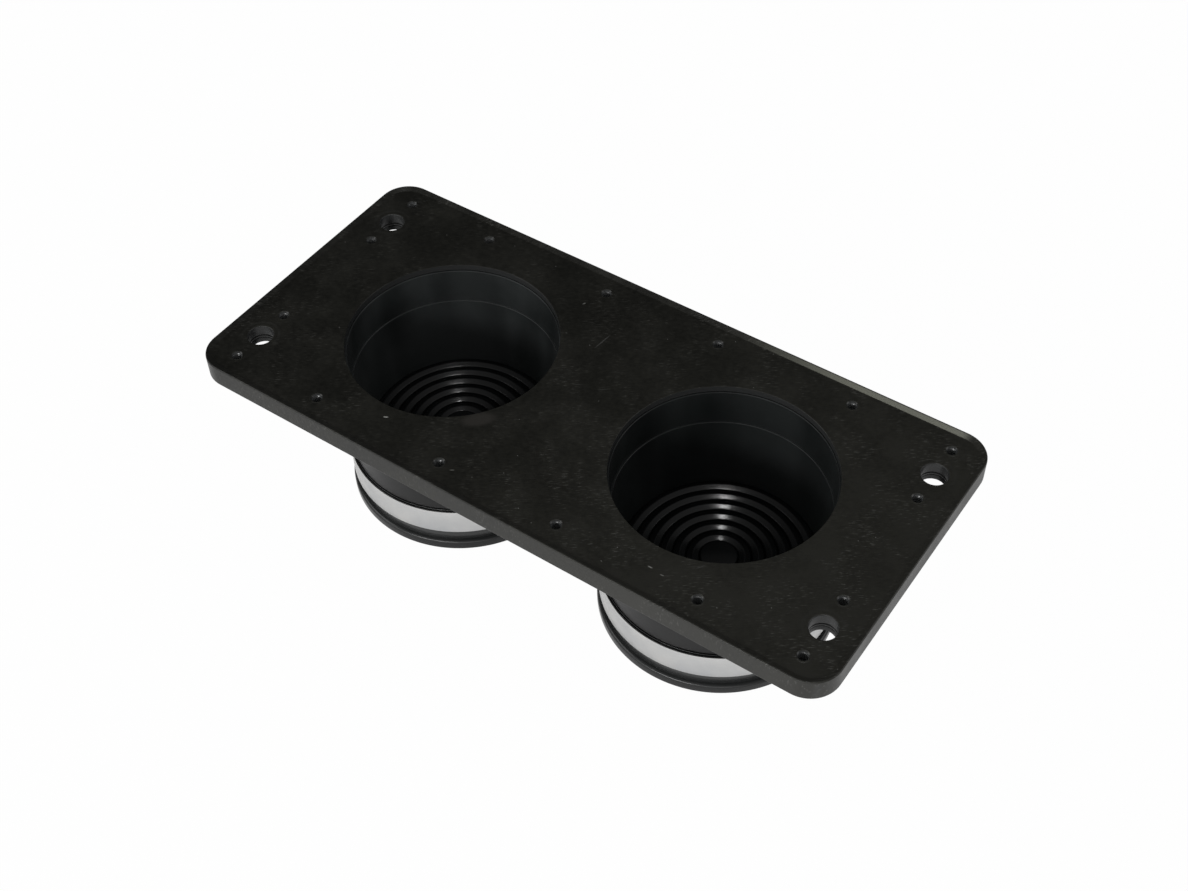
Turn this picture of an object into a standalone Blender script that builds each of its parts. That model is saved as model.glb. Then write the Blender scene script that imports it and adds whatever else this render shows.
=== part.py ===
"""Cable entry plate: a plate with two round entries, each closed by a ribbed rubber boot.

Lengths are in metres. The origin lies on the recessed top face, midway between the entries.
+X runs along the plate, +Y points to its far long side and +Z points up, out of the entries.
"""

import math

import bmesh
import bpy

# Plate outline and rim
PLATE_LENGTH = 0.3304
PLATE_WIDTH = 0.1526
PLATE_THICKNESS = 0.0100
PLATE_CORNER_RADIUS = 0.0145
EDGE_ROUND = 0.0007
RIM_HEIGHT = 0.0012
RIM_WIDTH = 0.0031

# Entries through the plate
ENTRY_PITCH = 0.1470
BORE_CHAMFER = 0.0005
LIP_DEPTH = 0.0030
LIP_STEP = 0.0007

# Bolt holes near the corners
BOLT_END_DISTANCE = 0.0162
BOLT_SIDE_DISTANCE = 0.0283
BOLT_HOLE_RADIUS = 0.0060
BOLT_HOLE_CHAMFER = 0.0008
BOLT_HOLE_EDGE_BREAK = 0.0005

# Small tapped holes, blind from the top face
TAPPED_HOLE_RADIUS = 0.0021
TAPPED_HOLE_CHAMFER = 0.0007
TAPPED_HOLE_DEPTH = 0.0075
TAPPED_HOLE_TIP = 0.0011
TAPPED_SIDE_DISTANCE = 0.0123
TAPPED_BOLT_OFFSET = 0.0160
TAPPED_INNER_X = 0.0310
TAPPED_OUTER_X = 0.1005

# Neck sleeves
NECK_RADIUS = 0.0536
NECK_UPPER_WALL = 0.0043
NECK_SHOULDER_DEPTH = 0.0595
NECK_LEDGE_DEPTH = 0.0220
NECK_LEDGE_WIDTH = 0.0008
NECK_TAPER_DEPTH = 0.0560
SPIGOT_STEP = 0.0026
SPIGOT_WALL = 0.0050
SPIGOT_LENGTH = 0.0185
SPIGOT_CHAMFER = 0.0008

# Rubber boots
CUFF_WALL = 0.0027
CUFF_LENGTH = 0.0205
CUFF_EDGE_ROUND = 0.0005
BEAD_GROOVE_DEPTH = 0.0008
BEAD_GROOVE_WIDTH = 0.0010
BEAD_OVERHANG = 0.0017
BEAD_HEIGHT = 0.0057
FOOT_RING_WIDTH = 0.0045
INNER_WALL = 0.0020
RIDGE_COUNT = 6
RIDGE_HEIGHT = 0.0027
GROOVE_WIDTH = 0.0021
MEMBRANE_DEPTH = 0.0605
MEMBRANE_WALL = 0.0020
CENTRE_RADIUS = 0.00875
CENTRE_HEIGHT = 0.0020

# Clamp bands
BAND_THICKNESS = 0.0007
BAND_WIDTH = 0.0141
BAND_OFFSET = 0.0009
BAND_CLIMB_STEPS = 2
BAND_OVERLAP_STEPS = 4

# Clamp housings and screws
HOUSING_LENGTH = 0.0150
HOUSING_WALL = 0.0010
HOUSING_FOOT = 0.0010
SCREW_RADIUS = 0.0036
SCREW_COLLAR_RADIUS = 0.0041
SCREW_COLLAR_LENGTH = 0.0010
SCREW_HEAD_ACROSS_FLATS = 0.0070
SCREW_HEAD_LENGTH = 0.0042
SCREW_EDGE = 0.0004

# Clearance between pieces that touch, and how far a cutter reaches past a face
FIT_GAP = 0.0003
CUT_REACH = 0.0020

# Facets
TURN_STEPS = 40
CORNER_STEPS = 8
BOLT_HOLE_STEPS = 24
TAPPED_HOLE_STEPS = 12
SCREW_STEPS = 24
HOUSING_STEPS = 8
RIDGE_STEPS = 4
ROUND_STEPS = 3
SHARP_ANGLE = math.radians(32)
WELD_DISTANCE = 0.000001

# Heights and radii that follow from the sizes above
NECK_UPPER_BORE = NECK_RADIUS - NECK_UPPER_WALL
SPIGOT_RADIUS = NECK_RADIUS - SPIGOT_STEP
NECK_LOWER_BORE = SPIGOT_RADIUS - SPIGOT_WALL
BORE_RADIUS = NECK_UPPER_BORE + LIP_STEP
NECK_TOP = -LIP_DEPTH - FIT_GAP
SHOULDER = -NECK_SHOULDER_DEPTH
SPIGOT_END = SHOULDER - SPIGOT_LENGTH
CUFF_TOP = SHOULDER - FIT_GAP
CUFF_BORE = SPIGOT_RADIUS + FIT_GAP
CUFF_RADIUS = CUFF_BORE + CUFF_WALL
CUFF_END = CUFF_TOP - CUFF_LENGTH
FOOT_LEVEL = CUFF_END - BEAD_GROOVE_WIDTH - BEAD_HEIGHT
INNER_SLEEVE_RADIUS = NECK_LOWER_BORE - FIT_GAP
RECESS_RADIUS = INNER_SLEEVE_RADIUS - INNER_WALL
BAND_BORE = CUFF_RADIUS + FIT_GAP
BAND_STEP = BAND_THICKNESS + FIT_GAP
BAND_TOP = CUFF_TOP - BAND_OFFSET
BAND_CENTRE = BAND_TOP - BAND_WIDTH / 2
HOUSING_SEAT = BAND_BORE + BAND_STEP + BAND_THICKNESS + FIT_GAP
SCREW_AXIS = HOUSING_SEAT + SCREW_RADIUS
HOUSING_BORE = SCREW_RADIUS + FIT_GAP

# Colours, linear RGB
PLATE_COLOUR = (0.012, 0.012, 0.012)
SLEEVE_COLOUR = (0.010, 0.010, 0.011)
RUBBER_COLOUR = (0.008, 0.008, 0.008)
STEEL_COLOUR = (0.62, 0.62, 0.63)


def clear_scene():
    for obj in list(bpy.data.objects):
        bpy.data.objects.remove(obj, do_unlink=True)


def new_material(name, colour, roughness, metallic):
    material = bpy.data.materials.new(name)
    material.use_nodes = True
    shader = material.node_tree.nodes["Principled BSDF"]
    shader.inputs["Base Color"].default_value = (*colour, 1.0)
    shader.inputs["Roughness"].default_value = roughness
    shader.inputs["Metallic"].default_value = metallic
    return material


def mesh_of(name, bm, material=None):
    """Turns a bmesh into a mesh with outward faces, smooth but for its sharp edges."""
    bmesh.ops.recalc_face_normals(bm, faces=bm.faces)
    mesh = bpy.data.meshes.new(name)
    bm.to_mesh(mesh)
    bm.free()
    mesh.shade_smooth()
    mesh.set_sharp_from_angle(angle=SHARP_ANGLE)
    if material:
        mesh.materials.append(material)
    return mesh


def add_object(name, mesh, parent=None):
    obj = bpy.data.objects.new(name, mesh)
    bpy.context.scene.collection.objects.link(obj)
    obj.parent = parent
    return obj


def cut(target, name, bm):
    """Takes a cutter's shape out of the target object."""
    cutter = add_object(name, mesh_of(name, bm))
    cutter.hide_render = True
    cutter.display_type = "WIRE"
    modifier = target.modifiers.new(name, "BOOLEAN")
    modifier.operation = "DIFFERENCE"
    modifier.solver = "EXACT"
    modifier.object = cutter


def turned(profile, steps):
    """A shape turned about Z from (radius, height) points.

    A profile that starts and ends on the axis is left open, and any other one is closed.
    """
    bm = bmesh.new()
    points = [bm.verts.new((radius, 0.0, height)) for radius, height in profile]
    ends_on_axis = profile[0][0] == 0.0 and profile[-1][0] == 0.0
    followers = points[1:] if ends_on_axis else points[1:] + points[:1]
    edges = [bm.edges.new(pair) for pair in zip(points, followers)]
    bmesh.ops.spin(
        bm,
        geom=points + edges,
        axis=(0.0, 0.0, 1.0),
        cent=(0.0, 0.0, 0.0),
        angle=math.tau,
        steps=steps,
        use_merge=True,
    )
    bmesh.ops.remove_doubles(bm, verts=bm.verts, dist=WELD_DISTANCE)
    return bm


def turned_at(places, profile, steps):
    """The same turned shape at each (x, y) place, in one bmesh."""
    bm = bmesh.new()
    pattern = bpy.data.meshes.new("pattern")
    turned_bm = turned(profile, steps)
    turned_bm.to_mesh(pattern)
    turned_bm.free()
    for x, y in places:
        before = len(bm.verts)
        bm.from_mesh(pattern)
        bm.verts.ensure_lookup_table()
        bmesh.ops.translate(bm, vec=(x, y, 0.0), verts=bm.verts[before:])
    bpy.data.meshes.remove(pattern)
    return bm


def lofted(sections):
    """A solid through equal loops of points, with a face on each end."""
    bm = bmesh.new()
    loops = [[bm.verts.new(point) for point in section] for section in sections]
    for first, second in zip(loops, loops[1:]):
        for index in range(len(first)):
            following = (index + 1) % len(first)
            bm.faces.new((first[index], first[following], second[following], second[index]))
    bm.faces.new(loops[0])
    bm.faces.new(loops[-1])
    return bm


def arc(centre_radius, centre_height, radial_size, height_size, start, end, steps):
    """Points on an elliptical arc in the profile plane, with angles in degrees from the radial direction."""
    points = []
    for step in range(steps + 1):
        angle = math.radians(start + (end - start) * step / steps)
        points.append(
            (
                centre_radius + radial_size * math.cos(angle),
                centre_height + height_size * math.sin(angle),
            )
        )
    return points


# Mounting plate


def plate_outline(height):
    """The rounded rectangle of the plate's edge, anticlockwise from above."""
    points = []
    for corner, (side_x, side_y) in enumerate(((1, 1), (-1, 1), (-1, -1), (1, -1))):
        centre_x = side_x * (PLATE_LENGTH / 2 - PLATE_CORNER_RADIUS)
        centre_y = side_y * (PLATE_WIDTH / 2 - PLATE_CORNER_RADIUS)
        for step in range(CORNER_STEPS + 1):
            angle = math.pi / 2 * (corner + step / CORNER_STEPS)
            x = centre_x + PLATE_CORNER_RADIUS * math.cos(angle)
            y = centre_y + PLATE_CORNER_RADIUS * math.sin(angle)
            points.append((x, y, height))
    return points


def round_edge(bm, face):
    """Carries an end face outwards by the edge radius, with a quarter-round along its border."""
    for step in range(ROUND_STEPS):
        start = math.pi / 2 * step / ROUND_STEPS
        end = math.pi / 2 * (step + 1) / ROUND_STEPS
        bmesh.ops.inset_region(
            bm,
            faces=[face],
            thickness=EDGE_ROUND * (math.cos(start) - math.cos(end)),
            depth=EDGE_ROUND * (math.sin(end) - math.sin(start)),
            use_even_offset=True,
        )


def plate_blank():
    """The plate before drilling: rounded edges and a raised rim whose inner side slopes down to the face."""
    wall_bottom = EDGE_ROUND - PLATE_THICKNESS
    wall_top = RIM_HEIGHT - EDGE_ROUND
    bm = bmesh.new()
    underside = bm.faces.new([bm.verts.new(point) for point in plate_outline(wall_bottom)])
    raised = bmesh.ops.extrude_face_region(bm, geom=[underside])["geom"]
    top = next(item for item in raised if isinstance(item, bmesh.types.BMFace))
    bmesh.ops.translate(bm, vec=(0.0, 0.0, wall_top - wall_bottom), verts=top.verts)
    bmesh.ops.recalc_face_normals(bm, faces=bm.faces)
    round_edge(bm, underside)
    round_edge(bm, top)
    bmesh.ops.inset_region(
        bm,
        faces=[top],
        thickness=RIM_WIDTH - EDGE_ROUND,
        depth=-RIM_HEIGHT,
        use_even_offset=True,
    )
    return bm


def chamfered_mouth(radius, chamfer):
    """The upper end of a hole cutter: a cone of 45 degrees that starts above the face."""
    return [
        (0.0, CUT_REACH),
        (radius + chamfer + CUT_REACH, CUT_REACH),
        (radius, -chamfer),
    ]


def bore_profile():
    """A bore with a chamfered lip and, from below, the wider seat of the neck sleeve."""
    seat_radius = NECK_RADIUS + FIT_GAP
    return chamfered_mouth(BORE_RADIUS, BORE_CHAMFER) + [
        (BORE_RADIUS, -LIP_DEPTH),
        (seat_radius, -LIP_DEPTH),
        (seat_radius, -PLATE_THICKNESS - CUT_REACH),
        (0.0, -PLATE_THICKNESS - CUT_REACH),
    ]


def bolt_hole_profile():
    """A through hole with a chamfer above and a smaller broken edge below."""
    return chamfered_mouth(BOLT_HOLE_RADIUS, BOLT_HOLE_CHAMFER) + [
        (BOLT_HOLE_RADIUS, BOLT_HOLE_EDGE_BREAK - PLATE_THICKNESS),
        (BOLT_HOLE_RADIUS + BOLT_HOLE_EDGE_BREAK + CUT_REACH, -PLATE_THICKNESS - CUT_REACH),
        (0.0, -PLATE_THICKNESS - CUT_REACH),
    ]


def tapped_hole_profile():
    """A blind hole with a chamfered mouth and a drilled tip."""
    return chamfered_mouth(TAPPED_HOLE_RADIUS, TAPPED_HOLE_CHAMFER) + [
        (TAPPED_HOLE_RADIUS, -TAPPED_HOLE_DEPTH),
        (0.0, -TAPPED_HOLE_DEPTH - TAPPED_HOLE_TIP),
    ]


def build_plate():
    bolt_x = PLATE_LENGTH / 2 - BOLT_END_DISTANCE
    bolt_y = PLATE_WIDTH / 2 - BOLT_SIDE_DISTANCE
    row_y = PLATE_WIDTH / 2 - TAPPED_SIDE_DISTANCE
    tapped_quarter = [
        (bolt_x, bolt_y - TAPPED_BOLT_OFFSET),
        (bolt_x, row_y),
        (TAPPED_OUTER_X, row_y),
        (TAPPED_INNER_X, row_y),
    ]
    quarters = [(1, 1), (-1, 1), (-1, -1), (1, -1)]
    entry_places = [(-ENTRY_PITCH / 2, 0.0), (ENTRY_PITCH / 2, 0.0)]
    bolt_places = [(bolt_x * sx, bolt_y * sy) for sx, sy in quarters]
    tapped_places = [(x * sx, y * sy) for sx, sy in quarters for x, y in tapped_quarter]

    material = new_material("black_plate_plastic", PLATE_COLOUR, 0.45, 0.0)
    plate = add_object("mounting_plate", mesh_of("mounting_plate", plate_blank(), material))
    cut(plate, "bore_cutter", turned_at(entry_places, bore_profile(), TURN_STEPS))
    cut(plate, "bolt_hole_cutter", turned_at(bolt_places, bolt_hole_profile(), BOLT_HOLE_STEPS))
    cut(plate, "tapped_hole_cutter", turned_at(tapped_places, tapped_hole_profile(), TAPPED_HOLE_STEPS))


# Neck sleeves


def neck_sleeve_profile():
    """A tube with a thinner spigot below its shoulder, and a stepped and tapered bore."""
    ledge_radius = NECK_UPPER_BORE - NECK_LEDGE_WIDTH
    return [
        (NECK_RADIUS, NECK_TOP),
        (NECK_RADIUS, SHOULDER),
        (SPIGOT_RADIUS, SHOULDER),
        (SPIGOT_RADIUS, SPIGOT_END + SPIGOT_CHAMFER),
        (SPIGOT_RADIUS - SPIGOT_CHAMFER, SPIGOT_END),
        (NECK_LOWER_BORE, SPIGOT_END),
        (NECK_LOWER_BORE, -NECK_TAPER_DEPTH),
        (ledge_radius, -NECK_LEDGE_DEPTH),
        (NECK_UPPER_BORE, -NECK_LEDGE_DEPTH),
        (NECK_UPPER_BORE, NECK_TOP),
    ]


# Rubber boots


def membrane_profile():
    """The ridged top of the membrane, from its centre out to the inner sleeve's wall."""
    floor = -MEMBRANE_DEPTH
    crest = floor + RIDGE_HEIGHT
    ridge_pitch = (INNER_SLEEVE_RADIUS - CENTRE_RADIUS) / RIDGE_COUNT
    ridge_half_width = (ridge_pitch - GROOVE_WIDTH) / 2
    points = [(0.0, floor + CENTRE_HEIGHT)]
    points += arc(
        CENTRE_RADIUS - CENTRE_HEIGHT, floor, CENTRE_HEIGHT, CENTRE_HEIGHT, 90, 0, ROUND_STEPS
    )
    for ridge in range(RIDGE_COUNT):
        outer_radius = CENTRE_RADIUS + (ridge + 1) * ridge_pitch
        middle_radius = outer_radius - ridge_half_width
        points += arc(middle_radius, floor, ridge_half_width, crest - floor, 180, 0, RIDGE_STEPS)
    return points


def boot_profile():
    """The whole moulding: membrane, inner sleeve, slot for the spigot, cuff, bead, foot and recess."""
    slot_end = SPIGOT_END - FIT_GAP
    groove_radius = CUFF_RADIUS - BEAD_GROOVE_DEPTH
    bead_radius = CUFF_RADIUS + BEAD_OVERHANG
    bead_half = BEAD_HEIGHT / 2
    bead_centre = FOOT_LEVEL + bead_half
    bead_bulge = bead_radius - groove_radius
    foot_inner_radius = groove_radius - FOOT_RING_WIDTH
    profile = membrane_profile()
    profile += [
        (INNER_SLEEVE_RADIUS, slot_end),
        (CUFF_BORE, slot_end),
        (CUFF_BORE, CUFF_TOP),
    ]
    profile += arc(
        CUFF_RADIUS - CUFF_EDGE_ROUND,
        CUFF_TOP - CUFF_EDGE_ROUND,
        CUFF_EDGE_ROUND,
        CUFF_EDGE_ROUND,
        90,
        0,
        1,
    )
    profile += [(CUFF_RADIUS, CUFF_END), (groove_radius, CUFF_END - BEAD_GROOVE_WIDTH / 2)]
    profile += arc(groove_radius, bead_centre, bead_bulge, bead_half, 90, -90, 2 * ROUND_STEPS)
    profile += [
        (foot_inner_radius, FOOT_LEVEL),
        (RECESS_RADIUS, slot_end),
        (RECESS_RADIUS, -MEMBRANE_DEPTH - MEMBRANE_WALL),
        (0.0, -MEMBRANE_DEPTH - MEMBRANE_WALL),
    ]
    return profile


# Clamp bands


def band_section(angle, bore):
    """The strip's four corners at an angle about the entry."""
    corners = [
        (bore, BAND_TOP - BAND_WIDTH),
        (bore + BAND_THICKNESS, BAND_TOP - BAND_WIDTH),
        (bore + BAND_THICKNESS, BAND_TOP),
        (bore, BAND_TOP),
    ]
    return [(radius * math.cos(angle), radius * math.sin(angle), height) for radius, height in corners]


def band_strip():
    """A strip wound once round the cuff, whose tail climbs over its start below the housing."""
    step_angle = math.tau / TURN_STEPS
    start = math.pi / 2 - step_angle * BAND_OVERLAP_STEPS / 2
    sections = []
    for step in range(TURN_STEPS + BAND_OVERLAP_STEPS + 1):
        climbed = (step - TURN_STEPS + BAND_CLIMB_STEPS) / BAND_CLIMB_STEPS
        bore = BAND_BORE + BAND_STEP * min(max(climbed, 0.0), 1.0)
        sections.append(band_section(start + step * step_angle, bore))
    return lofted(sections)


# Clamp housings and screws


def housing_section(x):
    """The saddle's outline across the band at x: two feet on the strip and an arch over the screw."""
    foot_level = math.sqrt(HOUSING_SEAT**2 - x**2)
    foot_top = foot_level + HOUSING_FOOT
    foot_half_width = BAND_WIDTH / 2
    arch = HOUSING_BORE + HOUSING_WALL
    outline = [(foot_half_width, foot_level), (foot_half_width, foot_top), (arch, foot_top)]
    outline += arc(0.0, SCREW_AXIS, arch, arch, 0, 180, HOUSING_STEPS)
    outline += [(-arch, foot_top), (-foot_half_width, foot_top), (-foot_half_width, foot_level)]
    outline += [(-HOUSING_BORE, foot_level)]
    outline += arc(0.0, SCREW_AXIS, HOUSING_BORE, HOUSING_BORE, 180, 0, HOUSING_STEPS)
    outline += [(HOUSING_BORE, foot_level)]
    return [(x, y, BAND_CENTRE + across) for across, y in outline]


def clamp_housing():
    half = HOUSING_LENGTH / 2
    return lofted([housing_section(half * (2 * step / HOUSING_STEPS - 1)) for step in range(HOUSING_STEPS + 1)])


def screw_circle(x, radius):
    points = []
    for step in range(SCREW_STEPS):
        angle = math.tau * step / SCREW_STEPS
        y = SCREW_AXIS + radius * math.cos(angle)
        z = BAND_CENTRE + radius * math.sin(angle)
        points.append((x, y, z))
    return points


def screw_hexagon(x, across_flats):
    """A hexagon with a flat facing the band, with as many points as the circles."""
    points = []
    for step in range(SCREW_STEPS):
        angle = math.tau * step / SCREW_STEPS
        from_flat = (angle + math.pi / 6) % (math.pi / 3) - math.pi / 6
        radius = across_flats / 2 / math.cos(from_flat)
        y = SCREW_AXIS + radius * math.cos(angle)
        z = BAND_CENTRE + radius * math.sin(angle)
        points.append((x, y, z))
    return points


def clamp_screw():
    """The worm's body, its collar and its hexagon head, along X beside the band."""
    housing_end = HOUSING_LENGTH / 2
    collar_start = housing_end + FIT_GAP
    head_start = collar_start + SCREW_COLLAR_LENGTH
    head_end = head_start + SCREW_HEAD_LENGTH
    return lofted(
        [
            screw_circle(-housing_end, SCREW_RADIUS - SCREW_EDGE),
            screw_circle(SCREW_EDGE - housing_end, SCREW_RADIUS),
            screw_circle(collar_start, SCREW_RADIUS),
            screw_circle(collar_start, SCREW_COLLAR_RADIUS),
            screw_circle(head_start, SCREW_COLLAR_RADIUS),
            screw_hexagon(head_start, SCREW_HEAD_ACROSS_FLATS),
            screw_hexagon(head_end - SCREW_EDGE, SCREW_HEAD_ACROSS_FLATS),
            screw_hexagon(head_end, SCREW_HEAD_ACROSS_FLATS - 2 * SCREW_EDGE),
        ]
    )


# Assembly


def build_entries():
    sleeve_material = new_material("black_sleeve_plastic", SLEEVE_COLOUR, 0.35, 0.0)
    rubber_material = new_material("black_rubber", RUBBER_COLOUR, 0.40, 0.0)
    band_material = new_material("stainless_band", STEEL_COLOUR, 0.30, 1.0)
    fitting_material = new_material("stainless_fitting", STEEL_COLOUR, 0.25, 1.0)
    pieces = {
        "neck_sleeve": mesh_of("neck_sleeve", turned(neck_sleeve_profile(), TURN_STEPS), sleeve_material),
        "boot": mesh_of("boot", turned(boot_profile(), TURN_STEPS), rubber_material),
        "clamp_band": mesh_of("clamp_band", band_strip(), band_material),
        "clamp_housing": mesh_of("clamp_housing", clamp_housing(), fitting_material),
        "clamp_screw": mesh_of("clamp_screw", clamp_screw(), fitting_material),
    }
    for side, direction in (("left", -1), ("right", 1)):
        entry = add_object(f"{side}_entry", None)
        entry.location.x = direction * ENTRY_PITCH / 2
        for piece, mesh in pieces.items():
            add_object(f"{side}_{piece}", mesh, entry)


clear_scene()
build_plate()
build_entries()
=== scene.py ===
import math

import bmesh
import bpy
from mathutils import Matrix, Vector


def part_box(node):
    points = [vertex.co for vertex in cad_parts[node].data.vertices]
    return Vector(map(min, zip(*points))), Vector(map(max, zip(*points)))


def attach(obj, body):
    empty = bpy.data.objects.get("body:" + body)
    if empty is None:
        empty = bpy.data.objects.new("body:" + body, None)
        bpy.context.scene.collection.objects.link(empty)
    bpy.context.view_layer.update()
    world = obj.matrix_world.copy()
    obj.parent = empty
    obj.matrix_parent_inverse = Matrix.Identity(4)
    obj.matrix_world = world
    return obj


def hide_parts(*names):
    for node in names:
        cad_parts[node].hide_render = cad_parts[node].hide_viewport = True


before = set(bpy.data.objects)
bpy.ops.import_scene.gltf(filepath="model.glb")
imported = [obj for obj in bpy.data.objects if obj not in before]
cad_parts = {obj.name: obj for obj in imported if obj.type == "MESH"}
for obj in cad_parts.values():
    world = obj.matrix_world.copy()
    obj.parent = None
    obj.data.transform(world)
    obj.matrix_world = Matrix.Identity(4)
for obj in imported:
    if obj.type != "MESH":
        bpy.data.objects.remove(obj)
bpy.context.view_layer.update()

# The camera stands in front of the plate's near long side, to its right, and looks down on it at 48 degrees.
view_azimuth = math.radians(35.845)
view_elevation = math.radians(48.05)
view_roll = math.radians(-1.627)
view_distance = 0.71259
view_target = Vector((0.019081, -0.018899, 0.0))
focal_length_pixels = 1642.56
frame_width_pixels = 1188
toward_camera = Vector((
    math.sin(view_azimuth) * math.cos(view_elevation),
    -math.cos(view_azimuth) * math.cos(view_elevation),
    math.sin(view_elevation),
))
level_right = Vector((math.cos(view_azimuth), math.sin(view_azimuth), 0.0))
level_up = toward_camera.cross(level_right)
picture_right = math.cos(view_roll) * level_right + math.sin(view_roll) * level_up
picture_up = math.cos(view_roll) * level_up - math.sin(view_roll) * level_right
camera_data = bpy.data.cameras.new("camera")
camera_data.sensor_width = 36.0
camera_data.lens = focal_length_pixels / frame_width_pixels * camera_data.sensor_width
camera_data.clip_start = 0.01
camera = bpy.data.objects.new("camera", camera_data)
camera.matrix_world = Matrix.Translation(view_target + view_distance * toward_camera) @ Matrix(
    (picture_right, picture_up, toward_camera)
).transposed().to_4x4()
bpy.context.scene.collection.objects.link(camera)
bpy.context.scene.camera = camera
bpy.context.scene.view_settings.view_transform = "Standard"


class Socket:
    """A number that varies over a surface. An expression on sockets adds its Math nodes to the same tree."""

    def __init__(self, tree, output=None):
        self.tree = tree
        self.output = output

    def node(self, kind, settings=None, inputs=None, output=0):
        """Adds a node, sets it up, gives its inputs values or links and returns one of its outputs."""
        made = self.tree.nodes.new(kind)
        for name, value in (settings or {}).items():
            setattr(made, name, value)
        for name, value in (inputs or {}).items():
            if isinstance(value, Socket):
                self.tree.links.new(value.output, made.inputs[name])
            else:
                made.inputs[name].default_value = value
        return Socket(self.tree, made.outputs[output] if made.outputs else None)

    def maths(self, operation, *values):
        """A Math node on sockets or numbers."""
        return self.node("ShaderNodeMath", {"operation": operation}, dict(enumerate(values)))

    def __add__(self, other):
        return self.maths("ADD", self, other)

    def __sub__(self, other):
        return self.maths("SUBTRACT", self, other)

    def __rsub__(self, other):
        return self.maths("SUBTRACT", other, self)

    def __mul__(self, other):
        return self.maths("MULTIPLY", self, other)

    __radd__ = __add__
    __rmul__ = __mul__

    def part(self, axis):
        """The X, Y or Z of a vector."""
        return self.node("ShaderNodeSeparateXYZ", inputs={"Vector": self}, output=axis)

    def between(self, low, high):
        """0 below low, 1 above high, and a smooth rise between them."""
        settings = {"interpolation_type": "SMOOTHSTEP"}
        return self.node("ShaderNodeMapRange", settings, {"Value": self, "From Min": low, "From Max": high})

    def blend(self, first, second):
        """A colour between two colours, by this socket's value."""
        colours = [colour if isinstance(colour, Socket) else (*colour, 1.0) for colour in (first, second)]
        return self.node("ShaderNodeMix", {"data_type": "RGBA"}, {0: self, 6: colours[0], 7: colours[1]}, 2)


def new_finish(name):
    """A material with no nodes yet, and the socket that adds them."""
    material = bpy.data.materials.new(name)
    material.use_nodes = True
    material.node_tree.nodes.clear()
    return material, Socket(material.node_tree)


# Floor: plain pale paper under and behind the object. It looks white to the camera and in glossy surfaces,
# and keeps a little of the object's shadow.
floor_size = 6.0
floor_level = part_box("left_boot")[0].z - 0.0001
floor_colour = (0.80, 0.80, 0.80, 1.0)
floor_white_to_camera = 0.985
floor_white_in_gloss = 0.50
bm = bmesh.new()
bmesh.ops.create_grid(bm, x_segments=1, y_segments=1, size=floor_size / 2)
bmesh.ops.translate(bm, vec=(0.0, 0.0, floor_level), verts=bm.verts)
floor_mesh = bpy.data.meshes.new("floor")
bm.to_mesh(floor_mesh)
bm.free()
floor = bpy.data.objects.new("floor", floor_mesh)
bpy.context.scene.collection.objects.link(floor)
floor_paper, nodes = new_finish("floor_paper")
to_camera = nodes.node("ShaderNodeLightPath", output="Is Camera Ray")
in_gloss = nodes.node("ShaderNodeLightPath", output="Is Glossy Ray")
through_glass = nodes.node("ShaderNodeLightPath", output="Is Transmission Ray")
white_share = to_camera * floor_white_to_camera + (in_gloss + through_glass) * floor_white_in_gloss
paper = nodes.node("ShaderNodeBsdfDiffuse", inputs={"Color": floor_colour})
white = nodes.node("ShaderNodeEmission", inputs={"Strength": 1.0})
paper_and_white = nodes.node("ShaderNodeMixShader", inputs={0: white_share, 1: paper, 2: white})
nodes.node("ShaderNodeOutputMaterial", inputs={"Surface": paper_and_white})
floor_mesh.materials.append(floor_paper)

# Surroundings: white to the camera. To the object they are a room that grows dim toward the far left, with
# a wide low window in front of the plate's near long side.
room_bright = 0.42
room_dim = 0.10
window_bright = 1.7
bright_side = Vector((0.72, -0.69, 0.0)).normalized()
window_side = Vector((0.10, -0.99, 0.0)).normalized()
window_edge = (0.55, 0.85)
window_head = (0.34, 0.52)
room_fade = (-0.70, 0.45)
world = bpy.data.worlds.new("studio")
world.use_nodes = True
world.node_tree.nodes.clear()
bpy.context.scene.world = world
nodes = Socket(world.node_tree)
direction = nodes.node("ShaderNodeTexCoord", output="Generated")
facing = nodes.node("ShaderNodeVectorMath", {"operation": "DOT_PRODUCT"}, {0: direction, 1: bright_side}, "Value")
frontal = nodes.node("ShaderNodeVectorMath", {"operation": "DOT_PRODUCT"}, {0: direction, 1: window_side}, "Value")
window = frontal.between(*window_edge) * (1 - direction.part("Z").between(*window_head))
room = room_dim + (room_bright - room_dim) * facing.between(*room_fade) + window_bright * window
to_camera = nodes.node("ShaderNodeLightPath", output="Is Camera Ray")
strength = to_camera + (1 - to_camera) * room
sky = nodes.node("ShaderNodeBackground", inputs={"Strength": strength})
nodes.node("ShaderNodeOutputWorld", inputs={"Surface": sky})

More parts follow.
